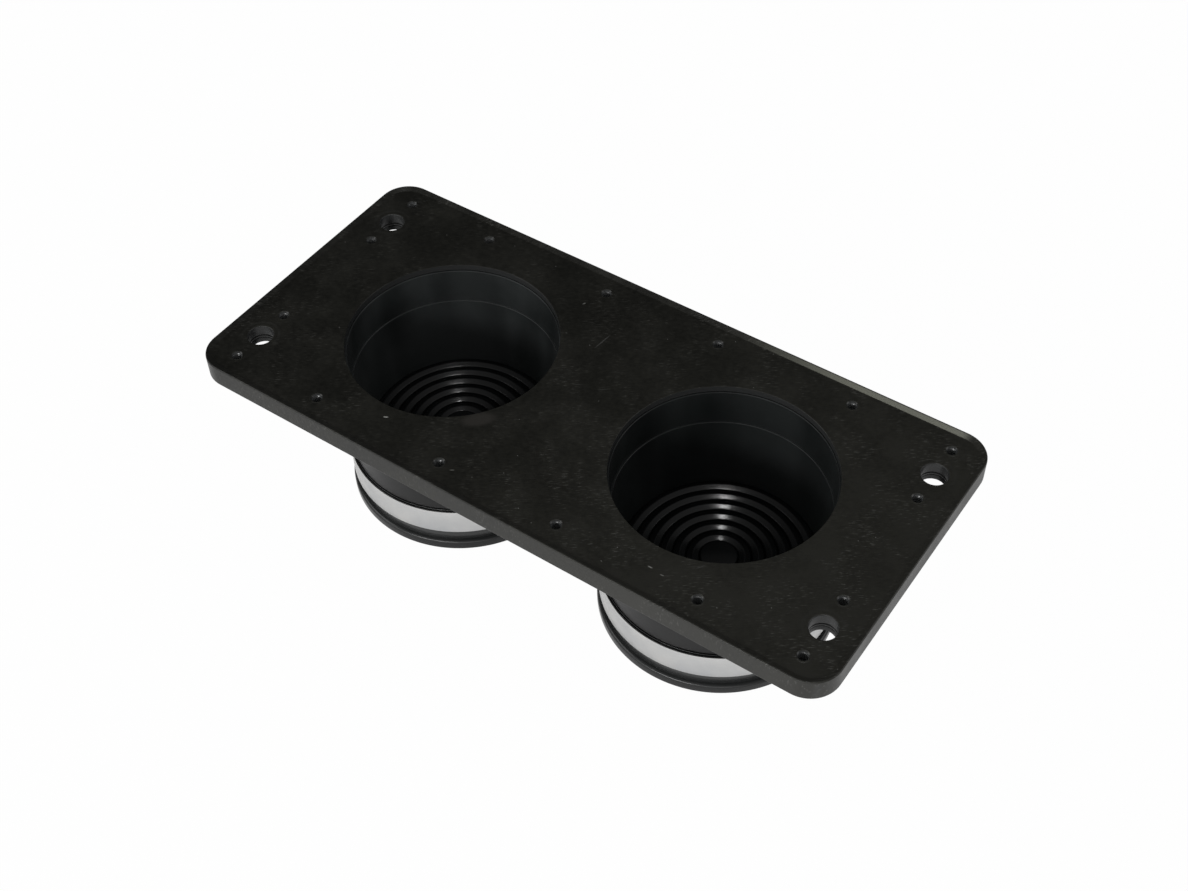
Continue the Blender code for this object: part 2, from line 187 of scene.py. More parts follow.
# Studio lamps: a small one nearly above the object and a little toward the camera, a low strip in front, and
# a large soft one on each side that fills the shadows.
lamps = (
    ("overhead_lamp", (0.103, -0.145, 0.984), 1.5, 0.12, 0.12, 2.0),
    ("front_strip", (0.04, -0.93, 0.36), 1.6, 1.10, 0.22, 6.5),
    ("left_fill", (-0.72, -0.51, 0.47), 1.6, 1.00, 1.00, 4.2),
    ("right_fill", (0.74, 0.50, 0.46), 1.6, 1.00, 1.00, 2.5),
)
for name, lamp_direction, lamp_distance, lamp_width, lamp_height, lamp_watts in lamps:
    lamp_direction = Vector(lamp_direction).normalized()
    lamp_data = bpy.data.lights.new(name, "AREA")
    lamp_data.shape = "ELLIPSE"
    lamp_data.size = lamp_width
    lamp_data.size_y = lamp_height
    lamp_data.energy = lamp_watts
    lamp = bpy.data.objects.new(name, lamp_data)
    lamp.matrix_world = Matrix.Translation(lamp_distance * lamp_direction) @ lamp_direction.to_track_quat(
        "Z", "Y"
    ).to_matrix().to_4x4()
    lamp.visible_camera = False
    bpy.context.scene.collection.objects.link(lamp)


# Mounting plate: one black plastic plate with a low raised rim, milled bores and drilled and tapped holes.
# It bolts to a wall through its four corner holes.
plate_low, plate_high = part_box("mounting_plate")
plate_length = plate_high.x - plate_low.x
plate_width = plate_high.y - plate_low.y
plate_bottom = plate_low.z
rim_top = plate_high.z
rim_width = 0.0031
plate_corner_radius = 0.0145
plate_edge_round = 0.0007
rim_foot_round = 0.0003
entry_pitch = 0.1470
bore_radius = 0.0500
bore_chamfer = 0.00012
lip_depth = 0.0030
sleeve_seat_radius = 0.0539
bolt_place = (0.1490, 0.0480)
bolt_hole_radius = 0.0060
bolt_hole_chamfer = 0.0008
bolt_hole_edge_break = 0.0002
bolt_hole_groove_levels = (-0.0056, -0.0072)
bolt_hole_groove_depth = 0.00030
tapped_places = ((0.1490, 0.0320), (0.1490, 0.0640), (0.1005, 0.0640), (0.0310, 0.0640))
tapped_hole_radius = 0.0021
tapped_hole_round = 0.0007
tapped_hole_depth = 0.0075
tapped_hole_point = 0.0011
first_crest = -0.0007
thread_pitch = 0.0007
thread_depth = 0.00025
burr_radius = 0.0034
burr_height = 0.00012
burr_root = 0.0010
cutter_reach = 0.0020
# Scratches, specks and one broad lighter patch on the top face: centre and half sizes in millimetres, angle in
# degrees, and colour.
plate_marks = (
    ((-14.2, 36.0), 84.0, (6.7, 0.35), (0.06, 0.06, 0.057)),
    ((-8.0, 7.3), 29.0, (3.3, 0.35), (0.034, 0.034, 0.032)),
    ((3.3, 11.1), 39.0, (3.5, 0.35), (0.034, 0.034, 0.032)),
    ((-67.2, -56.0), 27.0, (1.5, 0.45), (0.35, 0.35, 0.33)),
    ((-23.6, -64.3), 34.0, (1.4, 0.35), (0.12, 0.12, 0.11)),
    ((75.8, -60.9), 1.0, (1.4, 0.4), (0.2, 0.2, 0.19)),
    ((82.1, -61.7), 8.0, (1.2, 0.35), (0.16, 0.16, 0.15)),
    ((92.8, -49.5), 58.0, (2.8, 0.3), (0.05, 0.05, 0.048)),
    ((-35.8, 52.4), 64.0, (1.1, 0.4), (0.16, 0.16, 0.15)),
    # The last mark is a broad lighter patch beside the left bore's near edge.
    ((-32.1, -34.4), 45.0, (10.0, 5.0), (0.028, 0.026, 0.023)),
)


def rounded(centre, sizes, start, end, steps):
    """Points of an elliptical arc about a (radius, height) centre, from one angle in degrees to another."""
    points = []
    for step in range(steps + 1):
        angle = math.radians(start + (end - start) * step / steps)
        points.append((centre[0] + sizes[0] * math.cos(angle), centre[1] + sizes[1] * math.sin(angle)))
    return points


def turned(profile, steps):
    """A shape turned about the vertical axis from (radius, height) points, each end on the axis or closed."""
    bm = bmesh.new()
    points = [bm.verts.new((radius, 0.0, height)) for radius, height in profile]
    line = [bm.edges.new(pair) for pair in zip(points, points[1:])]
    if profile[0][0] > 0 or profile[-1][0] > 0:
        line.append(bm.edges.new((points[-1], points[0])))
    bmesh.ops.spin(
        bm,
        geom=points + line,
        axis=(0.0, 0.0, 1.0),
        cent=(0.0, 0.0, 0.0),
        angle=math.tau,
        steps=steps,
        use_merge=True,
    )
    bmesh.ops.remove_doubles(bm, verts=bm.verts, dist=0.000001)
    bmesh.ops.recalc_face_normals(bm, faces=bm.faces)
    return bm


def copied_to(bm, places):
    """Copies a shape to each (x, y) place and takes the first one away."""
    first = bm.verts[:] + bm.edges[:] + bm.faces[:]
    for x, y in places:
        copy = bmesh.ops.duplicate(bm, geom=first)["geom"]
        moved = [item for item in copy if isinstance(item, bmesh.types.BMVert)]
        bmesh.ops.translate(bm, vec=(x, y, 0.0), verts=moved)
    bmesh.ops.delete(bm, geom=[item for item in first if isinstance(item, bmesh.types.BMVert)], context="VERTS")
    return bm


def new_object(name, bm):
    """An object at the origin with this mesh."""
    mesh = bpy.data.meshes.new(name)
    bm.to_mesh(mesh)
    bm.free()
    piece = bpy.data.objects.new(name, mesh)
    bpy.context.scene.collection.objects.link(piece)
    return piece


def machined(piece, tools):
    """Adds and cuts away the tool shapes, each given with its operation, and applies the result."""
    for operation, tool in tools:
        step = piece.modifiers.new(tool.name, "BOOLEAN")
        step.operation = operation
        step.solver = "EXACT"
        step.object = tool
    bpy.context.view_layer.update()
    finished = piece.evaluated_get(bpy.context.evaluated_depsgraph_get())
    mesh = bpy.data.meshes.new_from_object(finished)
    piece.modifiers.clear()
    piece.data = mesh
    for _, tool in tools:
        bpy.data.objects.remove(tool)


def dress(piece, material, node):
    """Gives a finished piece its material, smooth shading and its place in the model."""
    piece.data.materials.clear()
    piece.data.materials.append(material)
    piece.data.polygons.foreach_set("use_smooth", [True] * len(piece.data.polygons))
    piece.data.set_sharp_from_angle(angle=math.radians(33))
    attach(piece, "root")
    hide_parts(node)


def extruded(bm, face):
    """Extrudes a face and gives the new one at the far end."""
    grown = bmesh.ops.extrude_face_region(bm, geom=[face])["geom"]
    return next(item for item in grown if isinstance(item, bmesh.types.BMFace))


def mirrored_places(places):
    """Each (x, y) place in all four quarters of the plate."""
    return [(x * side_x, y * side_y) for x, y in places for side_x in (1, -1) for side_y in (1, -1)]


bm = bmesh.new()
bmesh.ops.create_grid(bm, x_segments=1, y_segments=1, size=0.5)
bmesh.ops.scale(bm, vec=(plate_length, plate_width, 1.0), verts=bm.verts)
bmesh.ops.bevel(
    bm,
    geom=bm.verts[:],
    affect="VERTICES",
    offset=plate_corner_radius,
    segments=16,
    profile=0.5,
    material=-1,
)
bmesh.ops.translate(bm, vec=(0.0, 0.0, plate_bottom), verts=bm.verts)
top_face = extruded(bm, bm.faces[:][0])
bmesh.ops.translate(bm, vec=(0.0, 0.0, rim_top - plate_bottom), verts=top_face.verts)
bmesh.ops.recalc_face_normals(bm, faces=bm.faces)
outer_edges = [edge for edge in bm.edges if abs(edge.verts[0].co.z - edge.verts[1].co.z) < 0.000001]
bmesh.ops.inset_region(bm, faces=[top_face], thickness=plate_edge_round, depth=0.0, use_even_offset=True)
bmesh.ops.inset_region(
    bm,
    faces=[top_face],
    thickness=rim_width - plate_edge_round,
    depth=-rim_top,
    use_even_offset=True,
)
bmesh.ops.bevel(
    bm,
    geom=outer_edges,
    affect="EDGES",
    offset=plate_edge_round * 0.98,
    segments=5,
    profile=0.5,
    material=-1,
)
rim_foot = [edge for edge in bm.edges if all(abs(vert.co.z) < 0.000001 for vert in edge.verts)]
bmesh.ops.bevel(
    bm,
    geom=rim_foot,
    affect="EDGES",
    offset=rim_foot_round,
    segments=3,
    profile=0.5,
    material=-1,
)
plate = new_object("plate", bm)

entry_places = [(-entry_pitch / 2, 0.0), (entry_pitch / 2, 0.0)]
bore_tool = new_object("bore_tool", copied_to(turned([
    (0.0, cutter_reach),
    (bore_radius + bore_chamfer + cutter_reach, cutter_reach),
    (bore_radius, -bore_chamfer),
    (bore_radius, -lip_depth),
    (sleeve_seat_radius, -lip_depth),
    (sleeve_seat_radius, plate_bottom - cutter_reach),
    (0.0, plate_bottom - cutter_reach),
], 144), entry_places))

bolt_wall = rounded(
    (bolt_hole_radius + bolt_hole_chamfer, -bolt_hole_chamfer / 2),
    (bolt_hole_chamfer, bolt_hole_chamfer / 2),
    90,
    180,
    6,
)
for groove_level in bolt_hole_groove_levels:
    bolt_wall += [
        (bolt_hole_radius, groove_level + bolt_hole_groove_depth * 1.6),
        (bolt_hole_radius + bolt_hole_groove_depth, groove_level),
        (bolt_hole_radius, groove_level - bolt_hole_groove_depth * 1.6),
    ]
bolt_tool = new_object("bolt_tool", copied_to(turned([
    (0.0, cutter_reach),
    (bolt_hole_radius + bolt_hole_chamfer, cutter_reach),
] + bolt_wall + [
    (bolt_hole_radius, plate_bottom + bolt_hole_edge_break),
    (bolt_hole_radius + bolt_hole_edge_break + cutter_reach, plate_bottom - cutter_reach),
    (0.0, plate_bottom - cutter_reach),
], 64), mirrored_places([bolt_place])))

burr_tool = new_object("burr_tool", copied_to(turned([
    (0.0, -burr_root),
    (burr_radius, -burr_root),
    (burr_radius, 0.00001),
    (burr_radius - 0.0003, burr_height * 0.75),
    (burr_radius - 0.0006, burr_height),
    (burr_radius - 0.0010, burr_height * 0.8),
    (0.0, burr_height * 0.8),
], 40), mirrored_places(tapped_places)))

thread_wall = []
turns_of_thread = int((tapped_hole_depth - 2 * thread_pitch) / thread_pitch)
for turn in range(turns_of_thread):
    crest = first_crest - turn * thread_pitch
    thread_wall += [
        (tapped_hole_radius, crest),
        (tapped_hole_radius + thread_depth, crest - thread_pitch / 2),
    ]
tapping_tool = new_object("tapping_tool", copied_to(turned([
    (0.0, cutter_reach),
    (tapped_hole_radius + tapped_hole_round, cutter_reach),
    (tapped_hole_radius + tapped_hole_round, burr_height * 0.8),
    (tapped_hole_radius + 0.00022, -0.00030),
    (tapped_hole_radius + 0.00008, -0.00042),
] + thread_wall + [
    (tapped_hole_radius, -tapped_hole_depth),
    (0.0, -tapped_hole_depth - tapped_hole_point),
], 32), mirrored_places(tapped_places)))

machined(plate, [
    ("UNION", burr_tool),
    ("DIFFERENCE", bore_tool),
    ("DIFFERENCE", bolt_tool),
    ("DIFFERENCE", tapping_tool),
])

# The finish is satin black with faint streaks and dust, and a painted sheen lightens it toward the right end. The
# walls of the holes are cut plastic, painted paler for reflected light, and the tapped holes' threads carry
# painted glints. A washer has marked each bolt place, and a painted highlight lies on the far rim's inner slope
# toward the right end.
streak_angle = math.radians(35.845)
streak_sizes = (0.0034, 0.00042, 0.002)
dust_scale = 150.0
dark_plastic_colour = (0.0013, 0.0014, 0.0005)
pale_plastic_colour = (0.0205, 0.0202, 0.0165)
scuff_colour = (0.070, 0.070, 0.064)
dust_colour = (0.20, 0.20, 0.19)
hole_wall_and_reflection_colour = (0.026, 0.027, 0.027)
thread_glint_colour = (0.075, 0.078, 0.078)
washer_mark_colour = (0.030, 0.030, 0.028)
rim_highlight_colour = (0.150, 0.152, 0.125)
holes_end = (0.158, 0.162)
holes_side = (0.071, 0.074)
tapped_end = (0.130, 0.132)
tapped_inner_side = (0.037, 0.038)
tapped_outer_side = (0.0555, 0.0570)
washer_mark_start = (0.0076, 0.0084)
washer_mark_end = (0.0086, 0.0096)
rim_slope_start = (0.0728, 0.0731)
rim_slope_end = (0.0751, 0.0757)
rim_highlight_start = (0.030, 0.100)
rim_highlight_end = (0.148, 0.154)

plate_finish, nodes = new_finish("satin_black_plastic")
place = nodes.node("ShaderNodeTexCoord", output="Object")


def noise(place, scale, detail=3.0, roughness=0.55):
    """Cloudy noise about 0.5 at a place."""
    inputs = {"Vector": place, "Scale": scale, "Detail": detail, "Roughness": roughness}
    return place.node("ShaderNodeTexNoise", inputs=inputs)


def stroke(place, centre, angle, half_sizes):
    """1 on a straight mark on the top face, at an (x, y) centre in millimetres, with soft ends and sides."""
    local = place.node("ShaderNodeMapping", {"vector_type": "TEXTURE"}, {
        "Vector": place,
        "Location": (centre[0] / 1000, centre[1] / 1000, 0.0),
        "Rotation": (0.0, 0.0, math.radians(angle)),
        "Scale": (half_sizes[0] / 1000, half_sizes[1] / 1000, 0.001),
    })
    return 1 - place.node("ShaderNodeVectorMath", {"operation": "LENGTH"}, {0: local}, "Value").between(0.45, 1.0)


clouds = noise(place, 32.0, 6.0, 0.66)
mottle = noise(place, 420.0, 3.0, 0.6)
grain = noise(place, 1400.0, 2.0)
streak_place = nodes.node(
    "ShaderNodeMapping",
    {"vector_type": "TEXTURE"},
    {"Vector": place, "Rotation": (0.0, 0.0, streak_angle), "Scale": streak_sizes},
)
streaks = noise(streak_place, 1.0, 2.0)
dashes = streaks.between(0.58, 0.72)
dust_inputs = {"Vector": place, "Scale": dust_scale}
dust_cells = nodes.node("ShaderNodeTexVoronoi", {"voronoi_dimensions": "2D"}, dust_inputs)
dust_place = nodes.node("ShaderNodeTexVoronoi", {"voronoi_dimensions": "2D"}, dust_inputs, "Position")
dust_pick = nodes.node("ShaderNodeTexWhiteNoise", inputs={"Vector": dust_place})
dust = (1 - dust_cells.between(0.018, 0.040)) * dust_pick.between(0.968, 0.97)
along = place.part("X")
across = place.part("Y")
height = place.part("Z")
from_end = nodes.maths("ABSOLUTE", along)
from_middle = nodes.maths("ABSOLUTE", across)
in_holes = (1 - height.between(-0.0003, -0.00002)) * (1 - from_end.between(*holes_end))
in_holes = in_holes * (1 - from_middle.between(*holes_side))
in_holes = in_holes * height.between(plate_bottom + 0.00005, plate_bottom + 0.0003)
haze = clouds.between(0.38, 0.70)
# A painted sheen: the top face is painted lighter toward its right end, and the scuffs are stronger there.
painted_sheen = (along - across * 0.6).between(-0.10, 0.19)
tone = haze * 0.42 + streaks.between(0.30, 0.72) * 0.34 + mottle.between(0.30, 0.70) * 0.24 + painted_sheen * 0.58
colour = tone.blend(dark_plastic_colour, pale_plastic_colour)
clusters = noise(place, 60.0, 4.0).between(0.42, 0.62)
colour = (dashes * clusters * (0.75 + painted_sheen * 0.9)).blend(colour, scuff_colour)
for centre, angle, half_sizes, tint in plate_marks:
    colour = stroke(place, centre, angle, half_sizes).blend(colour, tint)
colour = (dust * 0.9).blend(colour, dust_colour)
in_tapped = from_end.between(*tapped_end) * (1 - from_middle.between(*tapped_inner_side))
in_tapped = in_holes * (in_tapped + from_middle.between(*tapped_outer_side))
# The hole walls are cut plastic, painted paler as a stand-in for light reflected into the holes.
colour = in_holes.blend(colour, hole_wall_and_reflection_colour)
# Painted glints: the threads deep in the tapped holes are painted pale for the light caught on them.
colour = (in_tapped * (1 - height.between(-0.0007, -0.0003))).blend(colour, thread_glint_colour)
for sign_x in (-1, 1):
    for sign_y in (-1, 1):
        from_bolt = nodes.node("ShaderNodeVectorMath", {"operation": "DISTANCE"}, {
            0: place,
            1: (sign_x * bolt_place[0], sign_y * bolt_place[1], 0.0),
        }, "Value")
        washer_mark = from_bolt.between(*washer_mark_start) * (1 - from_bolt.between(*washer_mark_end))
        colour = (washer_mark * haze * 0.5).blend(colour, washer_mark_colour)
rim_slope = across.between(*rim_slope_start) * (1 - across.between(*rim_slope_end))
# A painted highlight on the far rim's inner slope, strongest toward the right end.
rim_highlight = rim_slope * along.between(*rim_highlight_start) * (1 - along.between(*rim_highlight_end))
rim_highlight = rim_highlight * height.between(0.00003, 0.00010)
colour = (rim_highlight * 0.95).blend(colour, rim_highlight_colour)
roughness = 0.27 + haze * 0.08 + mottle * 0.06 + grain * 0.04 + dust * 0.2 - in_tapped * 0.20
bump = nodes.node("ShaderNodeBump", inputs={
    "Strength": 0.10,
    "Distance": 0.0004,
    "Height": streaks * 0.6 + clouds * 0.4,
})
surface = nodes.node("ShaderNodeBsdfPrincipled", inputs={
    "Base Color": colour,
    "Roughness": roughness,
    "IOR": 1.42,
    "Normal": bump,
})
nodes.node("ShaderNodeOutputMaterial", inputs={"Surface": surface})
dress(plate, plate_finish, "mounting_plate")
weighted = plate.modifiers.new("flat_faces_first", "WEIGHTED_NORMAL")
weighted.keep_sharp = True

# Neck sleeves: black plastic tubes turned on a lathe. Each sits in its bore's seat from below, and its
# thinner spigot carries the rubber boot.
neck_radius = 0.0536
neck_top = -0.0033
neck_shoulder = -0.0595
neck_upper_bore = 0.0493
neck_ledge = -0.0220
neck_ledge_width = 0.0008
neck_lower_bore = 0.0460
neck_taper_end = -0.0560
spigot_radius = 0.0510
spigot_end = -0.0780
spigot_chamfer = 0.0008
edge_break = 0.0002
bore_surface = (0.0495, 0.0505)
turning_scale = (0.05, 0.05, 0.00035)
zone_scale = (1.0, 1.0, 5.0)
dark_outside_colour = (0.0040, 0.0040, 0.0042)
pale_outside_colour = (0.0080, 0.0080, 0.0080)
dark_bore_colour = (0.0065, 0.0078, 0.0078)
pale_bore_colour = (0.042, 0.046, 0.0465)


def from_entry_axis(place):
    """The distance from the axis of the nearer entry."""
    along = place.maths("ABSOLUTE", place.part("X")) - entry_pitch / 2
    folded = place.node("ShaderNodeCombineXYZ", inputs={"X": along, "Y": place.part("Y")})
    return place.node("ShaderNodeVectorMath", {"operation": "LENGTH"}, {0: folded}, "Value")


sleeve_finish, nodes = new_finish("turned_black_plastic")
place = nodes.node("ShaderNodeTexCoord", output="Object")
clouds = noise(place, 40.0, 5.0, 0.6)
turning_place = nodes.node(
    "ShaderNodeMapping", {"vector_type": "TEXTURE"}, {"Vector": place, "Scale": turning_scale}
)
turning_lines = noise(turning_place, 1.0, 2.0)
in_bore = 1 - from_entry_axis(place).between(*bore_surface)
zone_place = nodes.node("ShaderNodeMapping", {"vector_type": "TEXTURE"}, {"Vector": place, "Scale": zone_scale})
zones = noise(zone_place, 30.0, 2.0).between(0.38, 0.64)
bore_tone = zones * 0.7 + clouds.between(0.35, 0.70) * 0.3
outside_colour = clouds.between(0.35, 0.75).blend(dark_outside_colour, pale_outside_colour)
# Painted light: the bore walls are painted paler toward the bottom, and paler in the left bore than the right, for
# light reflected onto them.
painted_depth_light = 1 - place.part("Z").between(-0.052, -0.008)
painted_bore_side_light = 1 - place.part("X").between(-0.02, 0.02) * 0.55
bore_colour = ((bore_tone * 0.75 + painted_depth_light * 0.45) * painted_bore_side_light).blend(dark_bore_colour, pale_bore_colour)
colour = in_bore.blend(outside_colour, bore_colour)
bump = nodes.node("ShaderNodeBump", inputs={
    "Strength": 0.12,
    "Distance": 0.0003,
    "Height": turning_lines * 0.6 + clouds * 0.4,
})
surface = nodes.node("ShaderNodeBsdfPrincipled", inputs={
    "Base Color": colour,
    "Roughness": 0.26 + clouds * 0.12 + in_bore * 0.10,
    "IOR": 1.39,
    "Normal": bump,
})
nodes.node("ShaderNodeOutputMaterial", inputs={"Surface": surface})

for side, direction in (("left", -1), ("right", 1)):
    bm = turned([
        (neck_radius, neck_top),
        (neck_radius, neck_shoulder + edge_break),
        (neck_radius - edge_break, neck_shoulder),
        (spigot_radius, neck_shoulder),
        (spigot_radius, spigot_end + spigot_chamfer),
        (spigot_radius - spigot_chamfer, spigot_end),
        (neck_lower_bore, spigot_end),
        (neck_lower_bore, neck_taper_end),
        (neck_upper_bore - neck_ledge_width, neck_ledge - edge_break),
        (neck_upper_bore - neck_ledge_width + edge_break, neck_ledge),
        (neck_upper_bore, neck_ledge),
        (neck_upper_bore, neck_top - edge_break),
        (neck_upper_bore + edge_break, neck_top),
    ], 144)
    bmesh.ops.translate(bm, vec=(direction * entry_pitch / 2, 0.0, 0.0), verts=bm.verts)
    sleeve = new_object(f"{side}_sleeve", bm)
    dress(sleeve, sleeve_finish, f"{side}_neck_sleeve")

# Rubber boots: one black rubber moulding each. The cuff is pushed over the sleeve's spigot, the foot is a
# rounded bead, and a membrane with ring ridges closes the entry. A user cuts it to suit the cable.
cuff_bore = 0.0513
cuff_radius = 0.0540
cuff_top = -0.0598
cuff_end = -0.0808
cuff_round = 0.0002
cuff_slot_end = -0.0783
cuff_slot_floor = 0.0012
bead_groove_depth = 0.0002
bead_radius = 0.0557
bead_shoulder = 0.0017
bead_corner = 0.0011
bead_drop = 0.0006
foot_level = -0.0870
foot_ring_width = 0.0045
foot_inner_round = 0.0006
inner_sleeve_radius = 0.0457
inner_wall = 0.0020
ridge_count = 6
ridge_crest = 0.00264
ridge_sag = 0.022
membrane_floor = -0.0605
membrane_wall = 0.0020
recess_round = 0.0010
centre_radius = 0.00875
centre_height = 0.0020
centre_round = 0.0008

ridge_pitch = (inner_sleeve_radius - centre_radius) / ridge_count
ridge_half = ridge_pitch / 2
ridge_side = [
    (-ridge_half, 0.0),
    (-0.00274, 0.00120),
    (-0.00262, 0.00143),
    (-0.00240, 0.00160),
    (-0.00215, 0.00172),
    (-0.00055, 0.00248),
    (-0.00030, 0.00259),
]
other_side = [(-across, height) for across, height in ridge_side[:0:-1]]
ridge_line = ridge_side + [(0.0, ridge_crest)] + other_side
centre_top = membrane_floor + centre_height
boot_line = [(0.0, centre_top)]
boot_line += rounded((centre_radius - centre_round, centre_top - centre_round), (centre_round,) * 2, 90, 0, 4)
for ridge in range(ridge_count):
    middle = centre_radius + (ridge + 1) * ridge_pitch - ridge_half
    sag = 1 - ridge_sag * (ridge - (ridge_count - 1) / 2) ** 2
    boot_line += [(middle + across, membrane_floor + height * sag) for across, height in ridge_line]
boot_line += [(inner_sleeve_radius, membrane_floor), (inner_sleeve_radius, cuff_slot_end)]
boot_line += [(cuff_bore, cuff_slot_end), (cuff_bore, cuff_top)]
boot_line += rounded((cuff_radius - cuff_round, cuff_top - cuff_round), (cuff_round,) * 2, 90, 0, 4)
groove_radius = cuff_radius - bead_groove_depth
bead_top = cuff_end - bead_drop
boot_line += [(cuff_radius, cuff_end), (groove_radius, bead_top)]
boot_line += rounded((bead_radius - bead_shoulder, bead_top - bead_shoulder), (bead_shoulder,) * 2, 84, 0, 10)
boot_line += rounded((bead_radius - bead_corner, foot_level + bead_corner), (bead_corner,) * 2, 0, -90, 8)
foot_inner = groove_radius - foot_ring_width
recess_radius = inner_sleeve_radius - inner_wall
boot_line += [
    (foot_inner, foot_level),
    (foot_inner - foot_inner_round, foot_level + foot_inner_round),
    (foot_inner - foot_inner_round, cuff_slot_end - cuff_slot_floor),
    (recess_radius, cuff_slot_end - cuff_slot_floor),
    (recess_radius, membrane_floor - membrane_wall - recess_round),
    (recess_radius - recess_round, membrane_floor - membrane_wall),
    (0.0, membrane_floor - membrane_wall),
]

dark_rubber_colour = (0.0034, 0.0038, 0.0040)
pale_rubber_colour = (0.0066, 0.0072, 0.0074)
painted_cuff_light_colour = (0.024, 0.025, 0.025)
outer_surface = (0.0530, 0.0536)
painted_cuff_light_top = (-0.0780, -0.0740)
painted_cuff_light_end = (-0.0840, -0.0815)

rubber_finish, nodes = new_finish("black_rubber")
place = nodes.node("ShaderNodeTexCoord", output="Object")
clouds = noise(place, 45.0, 5.0, 0.6)
grain = noise(place, 2200.0, 2.0)
colour = clouds.between(0.35, 0.75).blend(dark_rubber_colour, pale_rubber_colour)
height = place.part("Z")
# Painted light: the outside of the lower cuff, the groove and the bead's top are painted paler where shade falls
# below the band.
painted_cuff_light = from_entry_axis(place).between(*outer_surface) * (1 - height.between(*painted_cuff_light_top))
colour = (painted_cuff_light * height.between(*painted_cuff_light_end)).blend(colour, painted_cuff_light_colour)
bump = nodes.node("ShaderNodeBump", inputs={
    "Strength": 0.15,
    "Distance": 0.0002,
    "Height": grain * 0.5 + clouds * 0.5,
})
surface = nodes.node("ShaderNodeBsdfPrincipled", inputs={
    "Base Color": colour,
    "Roughness": 0.15 + clouds * 0.06,
    "IOR": 1.43,
    "Normal": bump,
})
nodes.node("ShaderNodeOutputMaterial", inputs={"Surface": surface})

for side, direction in (("left", -1), ("right", 1)):
    bm = turned(boot_line, 160)
    bmesh.ops.translate(bm, vec=(direction * entry_pitch / 2, 0.0, 0.0), verts=bm.verts)
    boot = new_object(f"{side}_rubber_boot", bm)
    dress(boot, rubber_finish, f"{side}_boot")

# Clamp bands: a strip of rolled stainless steel round each cuff. The tail climbs over the start below the
# housing and carries the slots that the screw drives.
band_bore = 0.0543
band_thickness = 0.0007
band_width = 0.0141
band_top = -0.0607
band_step = 0.0010
band_turn_steps = 160
band_overlap_steps = 16
band_climb_steps = 8
band_edge_round = 0.00015
slot_angles = (-15.6, -12.9, -10.2, 10.2, 12.9, 15.6)
slot_width = 0.0011
slot_length = 0.0086
slot_slant = 8.0
slot_cut = band_thickness * 1.4
rolled_scale = 4200.0
dark_steel_colour = (0.62, 0.63, 0.64)
pale_steel_colour = (0.76, 0.755, 0.74)

steel_finishes = {}
for side, direction in (("left", -1), ("right", 1)):
    steel_finish, nodes = new_finish(f"{side}_rolled_steel")
    place = nodes.node("ShaderNodeTexCoord", output="Object")
    centred = nodes.node("ShaderNodeMapping", inputs={
        "Vector": place,
        "Location": (-direction * entry_pitch / 2, 0.0, 0.0),
    })
    around = centred.part("X")
    across = centred.part("Y")
    upward = centred.part("Z")
    angle = nodes.maths("ARCTAN2", around, across)
    rolled_place = nodes.node("ShaderNodeCombineXYZ", inputs={"X": angle * 1.6, "Z": upward * rolled_scale})
    lines = noise(rolled_place, 1.0, 3.0)
    smears = noise(centred, 24.0, 3.0)
    colour = smears.between(0.35, 0.65).blend(dark_steel_colour, pale_steel_colour)
    bump = nodes.node("ShaderNodeBump", inputs={"Strength": 0.12, "Distance": 0.0001, "Height": lines})
    surface = nodes.node("ShaderNodeBsdfPrincipled", inputs={
        "Base Color": colour,
        "Metallic": 1.0,
        "Roughness": 0.22 + lines * 0.12 + smears * 0.06,
        "Normal": bump,
    })
    nodes.node("ShaderNodeOutputMaterial", inputs={"Surface": surface})
    steel_finishes[side] = steel_finish

